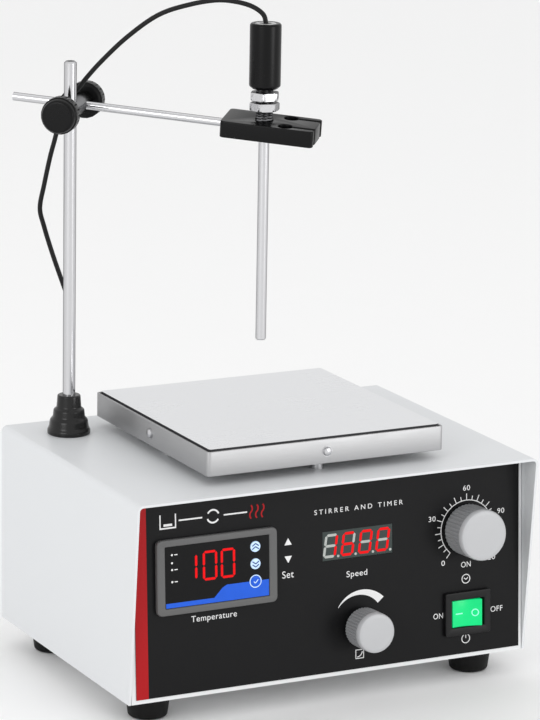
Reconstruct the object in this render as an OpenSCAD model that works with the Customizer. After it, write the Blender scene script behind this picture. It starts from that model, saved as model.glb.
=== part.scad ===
// Hot-plate magnetic stirrer with a stand rod, a cross clamp and a temperature probe.
// Millimetres, +Z up. The desk is z = 0, the cabinet is centred on x = 0 and its panel faces -Y.
// y = 0 is the middle of the rigid object's depth, from the speed knob to the fuse holder's cap.

/* [Cabinet] */
// Width of the cabinet
body_w = 210; // [200:1:230]
// Depth of the cabinet's top, visor included
top_d = 157; // [155:1:165]
// Depth of the cabinet at its underside
base_d = 149; // [147:1:150]
// Height of the cabinet without its feet
body_h = 97; // [96:1:110]
// Lean of the front panel, back from upright
panel_lean = 3.4; // [2:0.1:4]
// Thickness of the sheet metal
sheet = 1.2; // [1:0.1:1.5]
// Height of a rubber foot
foot_h = 13; // [12:1:16]

/* [Heater] */
// Side of the stainless tray, outside
tray_side = 124; // [120:1:126]
// Height of the tray
tray_h = 11.7; // [11:0.1:14]
// Air gap between the cabinet and the tray
tray_gap = 4.7; // [4:0.1:7]

/* [Controls] */
// Diameter of the timer knob
timer_d = 24.6; // [22:0.1:25]
// Diameter of the speed knob
speed_d = 19.2; // [18:0.1:22]
// How far the knobs stand off the panel
knob_h = 17.5; // [16:0.5:20]
// Gap between the panel and the speed knob
speed_gap = 3.4; // [1:0.1:4]
// Gap between the panel and the timer knob
timer_gap = 1; // [1:0.1:4]
// Tilt of the rocker switch, each way from level
rocker_tilt = 8; // [5:1:9]
// Travel of a controller key
key_travel = 0.4; // [0.2:0.1:0.5]

/* [Stand] */
// Diameter of the stand rod
rod_d = 6; // [6:0.5:8]
// Height of the stand rod's top above the desk
rod_top = 291.5; // [285:0.5:300]
// Height of the clamp's axis above the desk
clamp_z = 268.5; // [240:0.5:270]
// Compass turn of the arm, from +X towards the front
arm_turn = 39; // [30:1:50]
// Droop of the arm below level
arm_tilt = 4; // [0:0.5:5]
// Roll of the probe holder about the arm, its front edge down
arm_roll = 6; // [0:0.5:8]
// Length of arm to the left of the clamp
arm_left = 32; // [20:1:35]

/* [Probe] */
// Diameter of the probe's stem
stem_d = 5; // [4:0.5:6]
// Height of the stem's tip above the desk
stem_tip = 159.2; // [150:0.1:165]
// Diameter of the probe's handle
handle_d = 15; // [14:0.5:16]
// Diameter of the probe's cable
cable_d = 2.3; // [2:0.1:3]

/* [Hidden] */
$fn = 48;
eps = 0.01;
run = 0.05;              // radial clearance of a running fit
back_y = 79.4;           // the cabinet's rear face
under_z = foot_h;        // the cabinet's underside
top_z = foot_h + body_h; // the cabinet's top
panel_h = body_h - sheet - 0.5;
chassis_w = body_w - 2 * sheet - 0.8;
flange = 11;             // the cover's flanges around the rear panel
rear_y = back_y - sheet; // the rear panel's outer face

// Front panel: x, and height v along the leaning panel
overlay_t = 0.4;
overlay_w = 203;
overlay_v = [2, 94];
ctrl = [-60.1, 58.4];
ctrl_size = [61.6, 35.6];
ctrl_window = [53.2, 28.9];
ctrl_body = [57, 31, 56];
key_x = -40.6;
key_up_v = 68.1;
key_down_v = 59.9;
key_set_v = 51.6;
key_d = 5;
key_foot = -0.2;         // inner end of a key's flange
speed_disp = [14.35, 63.1];
disp_size = [37.1, 13.9];
speed_pos = [15.3, 22.8];
timer_pos = [73.1, 63];
switch_pos = [72.8, 22.2];
switch_size = [24.6, 21.3];
rocker_size = [15.2, 13];
rocker_pivot = -3;       // depth of the rocker's pin behind the panel

// Heater
plate_y = back_y - 78.2;
tray_z = top_z + tray_gap;
tray_wall = 1;
tray_top = tray_z + tray_h;
plate_gap = 0.7;
plate_side = tray_side - 2 * tray_wall - 2 * plate_gap;
plate_t = 8.4;
insulation_t = 1.5;
plate_top = tray_top + 0.8;
post_off = 52;

// Stand, clamp and arm
rod_x = -80.5;
rod_y = back_y - 25.3;
rod_bottom = top_z - 24;
boot_h = 19.2;
barrel_d = 9.4;
barrel_y = [-13.5, 25];
arm_d = 4;
arm_off = 14.3;
knob_t = 9.5;
clamp_knob_d = 17.8;
stud_d = 5;
stud_seat = 6.5;         // depth of a stud in its knob
holder_x = [72, 117];
holder_w = 23.2;
holder_t = 8;
probe_x = 91.2;
keyhole = [102.7, 7.1];
keyhole_d = 7;
slit_w = 2;
neck_d = 8.4;
neck_bottom = 259;       // inside the holder, above its underside
nut_af = 12.6;
nut_z = [270.4, 275.4];
nut_t = 3.7;
handle_z = [280.7, 311.9];
handle_bore = 6;

// Where the probe stands: the arm's axis point at probe_x
reach = probe_x * cos(arm_tilt);
stem_x = rod_x + arm_off * sin(arm_turn) + reach * cos(arm_turn);
stem_y = rod_y + arm_off * cos(arm_turn) - reach * sin(arm_turn);

// Rear panel, seen in x and height above the cabinet's underside
inlet_pos = [58, 34];
fuse_pos = [24, 34];
socket_pos = [-63, 44];
inlet_size = [27, 20];
inlet_cavity = [24, 16.5, 17];
plug_l = 22.2;
relief_l = 11;

// Drive
drive_z = under_z + 80;
motor_d = 48;
foot_pos = [86, back_y - 129, back_y - 20];

// Probe cable: from the handle over the clamp, down behind the rod, into the plug at the rear.
// Each point is [x, distance behind the rear face, height above the desk].
cable_route = [
    [-0.8, -71.4, 305.9], [-0.8, -71.4, 311.9], [-2.3, -70.2, 316.5], [-8.2, -65.6, 320.3],
    [-18.7, -58.3, 321.8], [-30.7, -49.8, 319], [-42.7, -41.3, 313.5], [-54.7, -32.8, 302.5],
    [-64.7, -25.8, 290.5], [-70.7, -21.5, 282], [-74.2, -18.8, 276.3], [-77.3, -16.4, 274.9],
    [-79.7, -14.5, 271.9], [-80.7, -14, 267], [-81.3, -14, 261.5], [-83, -13.8, 253.4],
    [-85.5, -13, 243.3], [-87.9, -11.7, 230.1], [-89.5, -10.4, 218.8], [-87.2, -9.9, 209.7],
    [-82.3, -9.1, 195.4], [-77, -8.6, 181.3], [-72.8, -8.3, 170.2], [-71.6, -8, 163], [-71, -6.5, 150],
    [-69.5, -3, 135], [-67.5, 1.5, 120], [-65.5, 6.5, 106], [-64, 14, 95], [-63.3, 26, 86],
    [-63, 40, 80], [-63, 52, 73], [-63, 55, 65], [-63, 50, 58.5], [-63, 42, 57], [-63, 34, 57]
];
clamp_point = 10;        // where the cable passes over the clamp
hang_point = 23;         // where it hangs free behind the rod
last_point = len(cable_route) - 1;

// ---------------------------------------------------------------- frames and helpers

// Local frame of the leaning panel: +X right, +Y up the panel, +Z out of it
module on_panel(at = [0, 0]) {
    translate([0, back_y - base_d, under_z])
        rotate([90 - panel_lean, 0, 0])
            translate([at[0], at[1], 0])
                children();
}

// Local frame of the rear panel: +Z out of it, +Y up, +X to the left as seen from behind
module on_rear(at) {
    translate([at[0], rear_y, under_z + at[1]]) rotate([-90, 180, 0]) children();
}

// Local frame of the clamp: +X along the arm's heading, +Y along the barrel to the rear
module on_clamp() {
    translate([rod_x, rod_y, clamp_z]) rotate([0, 0, -arm_turn]) children();
}

// Local frame of the arm: +X along the drooping arm, +Y across the holder to the rear
module on_arm() {
    on_clamp() translate([0, arm_off, 0]) rotate([0, arm_tilt, 0]) rotate([arm_roll, 0, 0]) children();
}

module at_probe(z = 0) {
    translate([stem_x, stem_y, z]) children();
}

module rounded_square(size, r) {
    for (sx = [-1, 1], sy = [-1, 1])
        translate([sx * (size[0] / 2 - r), sy * (size[1] / 2 - r)]) circle(r);
    square([size[0] - 2 * r, size[1]], center = true);
    square([size[0], size[1] - 2 * r], center = true);
}

// Slab centred on x and y, from z0 to z1
module slab(size, z0, z1) {
    translate([-size[0] / 2, -size[1] / 2, z0]) cube([size[0], size[1], z1 - z0]);
}

module disc(d, z0, z1) {
    translate([0, 0, z0]) cylinder(d = d, h = z1 - z0);
}

// Gear-like outline: count ridges between the two radii
module fluted(r_out, r_in, count) {
    step = 360 / count;
    polygon([
        for (i = [0:count - 1], k = [0:3])
            let (a = i * step + k * step / 4, r = k < 2 ? r_out : r_in)
                [r * cos(a), r * sin(a)]
    ]);
}

module pan_screw(head_d, head_h, shank_d, shank_l) {
    difference() {
        cylinder(d = head_d, h = head_h);
        for (a = [0, 90])
            rotate([0, 0, a]) slab([head_d * 0.6, 0.7], head_h - 0.8, head_h + 1);
    }
    disc(shank_d, -shank_l, eps);
}

module at_corners(dx, dy) {
    for (sx = [-1, 1], sy = [-1, 1]) translate([sx * dx, sy * dy, 0]) children();
}

// ---------------------------------------------------------------- cabinet

// Arch with its feet on y = 0 and rounded shoulders
module hood_section(w, h, r) {
    translate([-w / 2, 0]) square([w, h - r]);
    translate([-w / 2 + r, 0]) square([w - 2 * r, h]);
    for (s = [-1, 1]) translate([s * (w / 2 - r), h - r]) circle(r);
}

module at_cover_screws() {
    for (s = [-1, 1], z = [12, 84])
        translate([s * (body_w / 2 - 6.5), back_y, under_z + z]) rotate([-90, 0, 0]) children();
}

// Folded top and sides, with side edges that slant forward to the visor and flanges at the rear
module cover() {
    bend = 3;
    color("whitesmoke")
    difference() {
        translate([0, back_y, under_z]) rotate([90, 0, 0]) {
            linear_extrude(height = top_d)
                difference() {
                    hood_section(body_w, body_h, bend);
                    translate([0, -eps])
                        hood_section(body_w - 2 * sheet, body_h - sheet + eps, bend - sheet);
                }
            linear_extrude(height = sheet)
                difference() {
                    hood_section(body_w, body_h, bend);
                    translate([0, -eps])
                        hood_section(body_w - 2 * flange, body_h - flange + eps, 2);
                }
        }
        translate([-body_w, 0, 0]) rotate([90, 0, 90])
            linear_extrude(height = 2 * body_w)
                polygon([
                    [back_y - base_d, under_z - 1], [back_y - base_d, under_z],
                    [back_y - top_d, top_z], [back_y - top_d, top_z + 1],
                    [back_y - top_d - 20, top_z + 1], [back_y - top_d - 20, under_z - 1]
                ]);
        translate([rod_x, rod_y, top_z - sheet - 1]) cylinder(d = rod_d + 1, h = sheet + 2);
        translate([0, plate_y, top_z - sheet - 1])
            at_post() cylinder(d = 3.4, h = sheet + 2);
        at_cover_screws() disc(3.2, -3, 1);
    }
}

// Height v up the panel and distance o out of it, as [y, z]
function panel_yz(v, o) = [
    back_y - base_d + v * sin(panel_lean) - o * cos(panel_lean),
    under_z + v * cos(panel_lean) + o * sin(panel_lean)
];

// Front, bottom and rear in one folded sheet, with low lips along the sides
module chassis() {
    lip_h = 12;
    lip_inset = 8;
    floor_z = under_z + sheet;
    fold_v = sheet * (1 + sin(panel_lean)) / cos(panel_lean);
    color("white")
    difference() {
        union() {
            translate([-chassis_w / 2, 0, 0]) rotate([90, 0, 90]) linear_extrude(height = chassis_w)
                polygon([
                    panel_yz(0, 0), panel_yz(panel_h, 0), panel_yz(panel_h, -sheet),
                    panel_yz(fold_v, -sheet), [rear_y - sheet, floor_z],
                    [rear_y - sheet, under_z + panel_h], [rear_y, under_z + panel_h], [rear_y, under_z]
                ]);
            for (s = [-1, 1])
                translate([s * (chassis_w - sheet) / 2, back_y - base_d / 2, 0])
                    slab([sheet, base_d - 2 * lip_inset], floor_z - eps, floor_z + lip_h);
        }
        on_panel(ctrl) slab([ctrl_body[0] + 0.6, ctrl_body[1] + 0.6], -4, 4);
        on_panel(speed_disp) slab([disp_size[0] + 0.6, disp_size[1] + 0.6], -4, 4);
        on_panel(speed_pos) disc(7.4, -4, 4);
        on_panel(timer_pos) disc(8.4, -4, 4);
        on_panel(switch_pos) slab([22.4, 19.2], -4, 4);
        on_rear(inlet_pos) slab([inlet_size[0] + 0.5, inlet_size[1] + 0.5], -4, 4);
        on_rear(fuse_pos) disc(12.4, -4, 4);
        on_rear(socket_pos) disc(12.4, -4, 4);
        for (i = [0:8])
            on_rear([-20, 64]) translate([i * 5 - 20, 0, 0]) slab([2.2, 26], -4, 4);
        for (i = [0:10])
            translate([i * 8 - 40, plate_y, under_z]) slab([3, 60], -1, 4);
        at_feet() disc(4.4, under_z - 1, under_z + 4);
        at_cover_screws() disc(2.7, -6, 1);
    }
}

// Printed front film
module panel_overlay() {
    mid_v = (overlay_v[0] + overlay_v[1]) / 2;
    color([0.13, 0.13, 0.13])
    difference() {
        on_panel([0.3, mid_v])
            slab([overlay_w, overlay_v[1] - overlay_v[0]], 0, overlay_t);
        on_panel(ctrl) slab([ctrl_body[0] + 0.6, ctrl_body[1] + 0.6], -1, 1);
        on_panel(speed_disp) slab([disp_size[0] + 0.2, disp_size[1] + 0.2], -1, 1);
        on_panel(speed_pos) disc(7.4, -1, 1);
        on_panel(timer_pos) disc(8.4, -1, 1);
        on_panel(switch_pos) slab([22.4, 19.2], -1, 1);
    }
}

module at_feet() {
    for (s = [-1, 1], y = [foot_pos[1], foot_pos[2]]) translate([s * foot_pos[0], y, 0]) children();
}

module feet() {
    color([0.08, 0.08, 0.08]) at_feet()
        difference() {
            rotate_extrude()
                polygon([[0, 0], [8.2, 0], [9.2, 0.6], [9.6, 1.6], [10.9, foot_h], [0, foot_h]]);
            disc(9, -1, 5);
            disc(4.2, -1, foot_h + 1);
        }
}

module foot_screws() {
    color("silver") at_feet() translate([0, 0, 5]) mirror([0, 0, 1]) pan_screw(8, 2.4, 4, foot_h - 1);
}

module cover_screws() {
    color("silver") at_cover_screws() pan_screw(5.6, 1.8, 2.7, 5);
}

// ---------------------------------------------------------------- heater

module at_post() {
    for (a = [0:90:270]) rotate([0, 0, a]) translate([post_off, 0, 0]) children();
}

module heater_tray() {
    color("silver") translate([0, plate_y, 0])
    difference() {
        slab([tray_side, tray_side], tray_z, tray_top);
        slab([tray_side - 2 * tray_wall, tray_side - 2 * tray_wall], tray_z + tray_wall, tray_top + 1);
        at_post() disc(3.4, tray_z - 1, tray_z + 3);
        for (a = [0:90:270])
            rotate([0, 0, a]) translate([tray_side / 2 - 3, 0, tray_z + tray_h / 2])
                rotate([0, 90, 0]) cylinder(d = 3.4, h = 6);
    }
}

module heating_plate() {
    color([0.9, 0.9, 0.9]) translate([0, plate_y, 0])
    difference() {
        slab([plate_side, plate_side], plate_top - plate_t, plate_top);
        for (a = [0:90:270])
            rotate([0, 0, a]) translate([tray_side / 2 - 7, 0, tray_z + tray_h / 2])
                rotate([0, 90, 0]) cylinder(d = 3, h = 10);
    }
}

module tray_screws() {
    color("silver") translate([0, plate_y, tray_z + tray_h / 2])
        for (a = [0:90:270])
            rotate([0, 0, a]) translate([tray_side / 2, 0, 0])
                rotate([0, 90, 0]) pan_screw(5.4, 1.6, 3, 6.8);
}

// Spacers with a stud through the cover and a nut below it
module plate_posts() {
    color("silver") translate([0, plate_y, 0]) at_post() {
        disc(6, top_z, tray_z);
        disc(3, top_z - 6, top_z + eps);
        disc(3, tray_z - eps, tray_z + 2.4);
        translate([0, 0, top_z - sheet - 2.4]) cylinder(d = 6.2, h = 2.4, $fn = 6);
    }
}

module insulation_board() {
    color("tan") translate([0, plate_y, 0])
    difference() {
        slab([tray_side - 4, tray_side - 4], tray_z + tray_wall, tray_z + tray_wall + insulation_t);
        at_post() disc(4, tray_z, tray_z + 4);
    }
}

module heating_element() {
    color("dimgray") translate([0, plate_y, 0])
        slab([106, 106], tray_z + tray_wall + insulation_t, plate_top - plate_t);
}

// ---------------------------------------------------------------- temperature controller

module controller_case() {
    wall = 1.5;
    inside = [ctrl_body[0] - 2 * wall, ctrl_body[1] - 2 * wall];
    color([0.4, 0.4, 0.4]) on_panel(ctrl)
    difference() {
        union() {
            translate([0, 0, overlay_t]) linear_extrude(height = 2.6) rounded_square(ctrl_size, 3);
            slab([ctrl_body[0], ctrl_body[1]], -ctrl_body[2], overlay_t + 1);
        }
        slab(inside, -ctrl_body[2] + wall, 1.2);
        slab([ctrl_window[0] + 0.2, ctrl_window[1] + 0.2], 1.2 - eps, 5);
    }
}

module controller_window() {
    color([0.05, 0.05, 0.06])
    difference() {
        on_panel(ctrl) slab(ctrl_window, 1.2, 2.6);
        on_panel([key_x, key_up_v]) disc(key_d + 0.3, -1, 4);
        on_panel([key_x, key_down_v]) disc(key_d + 0.3, -1, 4);
        on_panel([key_x, key_set_v]) disc(key_d + 0.3, -1, 4);
    }
}

// Circuit board with the digit block and the three key switches
module controller_board() {
    color("seagreen") {
        on_panel(ctrl) slab([53, 27], -6.6, -5);
        on_panel([ctrl[0] - 6, ctrl[1]]) slab([32, 18], -5.01, 0.8);
        for (v = [key_up_v, key_down_v, key_set_v]) {
            on_panel([key_x, v]) slab([6, 6], -5.01, key_foot - key_travel - 0.1);
        }
    }
}

module key_cap(v, tint) {
    color(tint) on_panel([key_x, v]) {
        disc(key_d, 1, 3);
        disc(6, key_foot, 1.1);
    }
}

module key_up() { key_cap(key_up_v, "lightcyan"); }
module key_down() { key_cap(key_down_v, "lightcyan"); }
module key_set() { key_cap(key_set_v, "royalblue"); }

// ---------------------------------------------------------------- speed and timer

module speed_display() {
    color([0.1, 0.1, 0.1]) on_panel(speed_disp) {
        slab(disp_size, -7.5, overlay_t - 0.2);
        slab([44, 22], -9.1, -7.5 + eps);
    }
}

// Fluted knob with a smooth rounded nose and a hollow underside, standing base off the panel
module control_knob(d, base, hollow_d) {
    r = d / 2;
    nose = knob_h - 3.2;
    difference() {
        union() {
            translate([0, 0, base]) linear_extrude(height = nose - base) fluted(r, r - 0.45, 40);
            rotate_extrude()
                polygon([
                    [0, nose - 1], [r - 0.45, nose - 1], [r - 0.1, nose], [r - 0.1, knob_h - 1.2],
                    [r - 0.45, knob_h - 0.4], [r - 1.3, knob_h], [0, knob_h]
                ]);
        }
        disc(hollow_d, 0, 6);
        disc(6, 0, knob_h - 3);
    }
}

module speed_pot() {
    color("dimgray") on_panel(speed_pos)
    difference() {
        union() {
            disc(16.5, -12, -sheet);
            disc(7, -12, 4.4);
            translate([0, 0, overlay_t]) cylinder(d = 11, h = 2, $fn = 6);
            translate([0, -11, 0]) slab([12, 8], -9, -7.6);
        }
        disc(6 + 2 * run, -10, 5);
    }
}

module speed_shaft() {
    color("silver") on_panel(speed_pos) disc(6, -9.5, knob_h - 3);
}

module speed_knob() {
    color("gainsboro") on_panel(speed_pos) control_knob(speed_d, speed_gap, 14);
}

// Clockwork timer
module timer_body() {
    color("slategray") on_panel(timer_pos)
    difference() {
        union() {
            slab([42, 42], -34, -3);
            disc(8, -5, 4.4);
            translate([0, 0, overlay_t]) cylinder(d = 12.5, h = 2, $fn = 6);
        }
        disc(6 + 2 * run, -20, 5);
        at_corners(18, 18) disc(3.2, -12, 0);
    }
}

module timer_shaft() {
    color("silver") on_panel(timer_pos) disc(6, -19.5, knob_h - 3);
}

module timer_knob() {
    color("gainsboro") on_panel(timer_pos) control_knob(timer_d, timer_gap, 16);
}

// ---------------------------------------------------------------- rocker switch

module switch_housing() {
    color([0.08, 0.08, 0.08]) on_panel(switch_pos)
    difference() {
        union() {
            translate([0, 0, overlay_t]) linear_extrude(height = 2.2) rounded_square(switch_size, 1);
            slab([21.8, 18.6], -20, overlay_t + 1);
            for (x = [-6, 6]) translate([x, 0, 0]) slab([0.8, 6.3], -28, -20 + eps);
        }
        slab([rocker_size[0] + 2.4, rocker_size[1] + 0.4], -12, 6);
        translate([0, 0, rocker_pivot]) rotate([90, 0, 0])
            translate([0, 0, -9]) cylinder(d = 2.1, h = 18);
    }
}

// Rocker at rest with its left, ON, side pressed in
module switch_rocker() {
    hx = rocker_size[0] / 2;
    color([0, 0.9, 0.6]) on_panel(switch_pos)
        translate([0, 0, rocker_pivot]) rotate([90, 0, 0]) {
            translate([0, 0, -rocker_size[1] / 2]) linear_extrude(height = rocker_size[1])
                rotate(rocker_tilt)
                    polygon([
                        [-hx, 2], [-hx, 6.4], [0, 5.1], [hx, 6.4], [hx, 2], [3.5, -4.5], [-3.5, -4.5]
                    ]);
            translate([0, 0, -8.6]) cylinder(d = 2, h = 17.2);
        }
}

// ---------------------------------------------------------------- stand

// Bush under the cover that the stand rod screws into
module rod_socket() {
    color("gray") translate([rod_x, rod_y, 0])
    difference() {
        union() {
            disc(26, top_z - sheet - 2.5, top_z - sheet);
            disc(14, rod_bottom - 4, top_z - sheet);
        }
        disc(rod_d + 2 * run, rod_bottom - 0.3, top_z);
    }
}

// Three-tier boot around the foot of the rod
module rod_boot() {
    color([0.06, 0.06, 0.06]) translate([rod_x, rod_y, top_z])
        rotate_extrude()
            polygon([
                [rod_d / 2 + run, 0], [10.4, 0], [10.4, 2.2], [9.65, 3.4], [9.15, 7], [7.8, 8.4],
                [7.45, 12], [6, 13], [5.6, boot_h - 0.4], [5.2, boot_h], [rod_d / 2 + run, boot_h]
            ]);
}

module stand_rod() {
    color("silver") translate([rod_x, rod_y, 0])
        rotate_extrude()
            polygon([
                [0, rod_bottom], [rod_d / 2, rod_bottom], [rod_d / 2, rod_top - 0.8],
                [rod_d / 2 - 0.8, rod_top], [0, rod_top]
            ]);
}

// Cross clamp: a turned barrel, drilled for the rod and for the arm
module clamp_barrel() {
    color("silver")
    difference() {
        on_clamp() rotate([-90, 0, 0]) disc(barrel_d, barrel_y[0], barrel_y[1]);
        on_clamp() disc(rod_d + 2 * run, -10, 10);
        on_arm() rotate([0, 90, 0]) disc(arm_d + 2 * run, -10, 10);
        on_clamp() rotate([-90, 0, 0]) disc(stud_d + 2 * run, barrel_y[0] - 1, 0);
        on_clamp() rotate([-90, 0, 0]) disc(stud_d + 2 * run, arm_off, barrel_y[1] + 1);
    }
}

// Fluted grip with a slightly smaller smooth nose, standing on z = 0
module clamp_grip() {
    r = clamp_knob_d / 2;
    core = r - 0.6;
    difference() {
        union() {
            translate([0, 0, 0.8]) linear_extrude(height = 5.8) fluted(r, core, 20);
            rotate_extrude()
                polygon([
                    [0, 0], [r - 1.6, 0], [core, 0.8], [core, knob_t - 1.4],
                    [core - 0.5, knob_t - 0.4], [core - 1.4, knob_t], [0, knob_t]
                ]);
        }
        disc(stud_d, -1, stud_seat);
    }
}

module on_rod_knob() {
    on_clamp() translate([0, barrel_y[0] - 0.3, 0]) rotate([90, 0, 0]) children();
}

module on_arm_knob() {
    on_clamp() translate([0, barrel_y[1] + 0.3, 0]) rotate([-90, 0, 0]) children();
}

module rod_knob() { color([0.06, 0.06, 0.06]) on_rod_knob() clamp_grip(); }
module arm_knob() { color([0.06, 0.06, 0.06]) on_arm_knob() clamp_grip(); }

module rod_knob_stud() {
    tip = barrel_y[0] - 0.3 + rod_d / 2 + run;
    color("silver") on_rod_knob() disc(stud_d, tip, stud_seat);
}

module arm_knob_stud() {
    tip = arm_off + arm_d / 2 + run - barrel_y[1] - 0.3;
    color("silver") on_arm_knob() disc(stud_d, tip, stud_seat);
}

module arm_rod() {
    color("silver") on_arm() rotate([0, 90, 0]) disc(arm_d, -arm_left, holder_x[0] + 12);
}

// ---------------------------------------------------------------- probe and its holder

module probe_holder() {
    mid_x = (holder_x[0] + holder_x[1]) / 2;
    color([0.1, 0.1, 0.1])
    difference() {
        on_arm() translate([mid_x, 0, -holder_t / 2]) linear_extrude(height = holder_t)
            rounded_square([holder_x[1] - holder_x[0], holder_w], 2);
        on_arm() rotate([0, 90, 0]) disc(arm_d, holder_x[0] - 1, holder_x[0] + 12);
        at_probe() disc(neck_d, clamp_z - 20, clamp_z + 10);
        for (s = [-1, 1])
            on_arm() translate([keyhole[0], s * keyhole[1], 0]) {
                disc(keyhole_d, -holder_t, holder_t);
                translate([0, -slit_w / 2, -holder_t]) cube([20, slit_w, 2 * holder_t]);
            }
    }
}

module probe_stem() {
    color("silver") at_probe()
        rotate_extrude()
            polygon([
                [0, stem_tip], [stem_d / 2 - 0.6, stem_tip], [stem_d / 2, stem_tip + 0.6],
                [stem_d / 2, handle_z[0]], [0, handle_z[0]]
            ]);
}

module probe_neck() {
    color("silver") at_probe()
    difference() {
        disc(neck_d, neck_bottom, handle_z[0]);
        disc(stem_d, stem_tip, handle_z[0] + 1);
    }
}

module probe_nuts() {
    color("silver") at_probe()
    for (i = [0, 1]) rotate([0, 0, 15 + 12 * i])
        difference() {
            translate([0, 0, nut_z[i]]) cylinder(d = nut_af / cos(30), h = nut_t, $fn = 6);
            disc(neck_d, 200, 300);
        }
}

module probe_handle() {
    r = handle_d / 2;
    color([0.05, 0.05, 0.05]) at_probe()
    difference() {
        rotate_extrude()
            polygon([
                [0, handle_z[0]], [r - 1.6, handle_z[0]], [r, handle_z[0] + 1.8],
                [r, handle_z[1] - 1], [r - 1, handle_z[1]], [0, handle_z[1]]
            ]);
        disc(10.4, handle_z[1] - 8, handle_z[1] + 1);
    }
}

// Bush in the handle's mouth that the cable comes out of
module handle_cap() {
    color("gainsboro") at_probe()
    difference() {
        disc(10.4, handle_z[1] - 8, handle_z[1]);
        disc(handle_bore, handle_z[1] - 6, handle_z[1] + 1);
    }
}

// ---------------------------------------------------------------- probe cable

function unit(v) = v / norm(v);

// Point at t from b to c on the smooth curve through a, b, c and d
function curve_point(a, b, c, d, t) =
    0.5 * (2 * b + (c - a) * t + (2 * a - 5 * b + 4 * c - d) * t * t
        + (3 * b - a - 3 * c + d) * t * t * t);

function smooth(p, n) = let (last = len(p) - 1) [
    for (i = [0:last - 1], k = [0:n - 1])
        curve_point(p[max(i - 1, 0)], p[i], p[i + 1], p[min(i + 2, last)], k / n),
    p[last]
];

function placed(route) = [for (p = route) [p[0], back_y + p[1], p[2]]];

// Tube of radius r along the path from ring first to ring final; side is a direction that this
// stretch never follows
module tube(path, first, final, r, side, sides = 8) {
    last = len(path) - 1;
    points = [
        for (i = [first:final])
            let (
                t = unit(path[min(i + 1, last)] - path[max(i - 1, 0)]),
                u = unit(cross(side, t)),
                w = cross(t, u)
            )
            for (k = [0:sides - 1])
                path[i] + r * (cos(360 * k / sides) * u + sin(360 * k / sides) * w)
    ];
    walls = [
        for (i = [0:final - first - 1], k = [0:sides - 1])
            let (a = i * sides + k, b = i * sides + (k + 1) % sides)
                [a, a + sides, b + sides, b]
    ];
    ends = [
        [for (k = [0:sides - 1]) k],
        [for (k = [sides - 1:-1:0]) (final - first) * sides + k]
    ];
    polyhedron(points, concat(walls, ends));
}

// The cable between two of its route's points
module cable(from, to, side) {
    rings = 2;
    color([0.07, 0.07, 0.07])
        tube(smooth(placed(cable_route), rings), from * rings, to * rings, cable_d / 2, side);
}

module cable_upper() { cable(0, clamp_point, [0.63, 0.78, 0]); }
module cable_middle() { cable(clamp_point, hang_point, [0.3, 1, 0]); }
module cable_lower() { cable(hang_point, last_point, [1, 0, 0]); }

module on_socket() { on_rear(socket_pos) children(); }

module probe_socket() {
    color("silver") on_socket()
    difference() {
        union() {
            disc(12, -14, 8);
            disc(17, 0, 2);
            translate([0, 0, -sheet - 2.5]) cylinder(d = 16, h = 2.5, $fn = 6);
        }
        disc(9, 3, 9);
    }
}

module probe_plug() {
    color("silver") on_socket()
    difference() {
        union() {
            linear_extrude(height = 10) fluted(7.5, 7.2, 24);
            disc(13, 9, 2 + plug_l);
            translate([0, 0, 2 + plug_l]) cylinder(d1 = 9, d2 = 5, h = relief_l);
        }
        disc(17.2, -1, 2.3);
        disc(12.2, -1, 9);
    }
}

// ---------------------------------------------------------------- inside the cabinet

module motor() {
    color("dimgray") translate([0, plate_y, 0])
    difference() {
        union() {
            disc(motor_d, under_z + 14, under_z + 56);
            disc(14, under_z + 56 - eps, under_z + 59);
        }
        disc(6 + 2 * run, under_z + 20, under_z + 60);
    }
}

module motor_bracket() {
    leg = 28;
    color("lightgray") translate([0, plate_y, 0])
    difference() {
        union() {
            slab([2 * leg, 56], under_z + 56, under_z + 58);
            for (s = [-1, 1]) {
                translate([s * (leg - 1), 0, 0]) slab([2, 56], under_z + sheet, under_z + 58);
                translate([s * (leg - 7), 0, 0]) slab([14, 56], under_z + sheet, under_z + sheet + 2);
            }
        }
        disc(14.4, under_z + 50, under_z + 60);
    }
}

module motor_shaft() {
    color("silver") translate([0, plate_y, 0]) disc(6, under_z + 20.5, drive_z + 6);
}

module magnet_holder() {
    color("silver") translate([0, plate_y, 0])
    difference() {
        union() {
            disc(52, drive_z, drive_z + 9);
            disc(14, drive_z - 8, drive_z + eps);
        }
        disc(6, drive_z - 9, drive_z + 6);
        for (s = [-1, 1]) translate([s * 17, 0, 0]) disc(14, drive_z + 2, drive_z + 10);
    }
}

module drive_magnets() {
    color("dimgray") translate([0, plate_y, 0])
        for (s = [-1, 1]) translate([s * 17, 0, 0]) disc(14, drive_z + 2, drive_z + 10);
}

module transformer() {
    color("saddlebrown") translate([72, back_y - 62, under_z + sheet]) {
        slab([44, 22], 3, 36);
        slab([30, 38], 7, 32);
        slab([50, 26], 0, 3 + eps);
    }
}

module control_board() {
    color("seagreen") translate([-73, back_y - 66, under_z + sheet]) {
        at_corners(20, 30) disc(5, 0, 8);
        slab([50, 70], 8 - eps, 9.6);
        translate([-12, 20, 0]) disc(12, 9.6 - eps, 24);
        translate([4, 20, 0]) disc(12, 9.6 - eps, 24);
        translate([10, -14, 0]) slab([16, 20], 9.6 - eps, 22);
        translate([-14, -14, 0]) slab([9, 22], 9.6 - eps, 19);
    }
}

module mains_inlet() {
    color([0.1, 0.1, 0.1]) on_rear(inlet_pos)
    union() {
        difference() {
            union() {
                linear_extrude(height = 3) rounded_square([31, 24], 2);
                slab(inlet_size, -20, 0 + eps);
                for (x = [-7, 0, 7]) translate([x, 0, 0]) slab([1, 5], -27, -20 + eps);
            }
            slab(inlet_cavity, 3 - inlet_cavity[2], 4);
        }
        for (x = [-7, 0, 7])
            translate([x, x == 0 ? 3 : -2, 0]) slab([2, 4], 3 - inlet_cavity[2] - eps, -4);
    }
}

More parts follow.
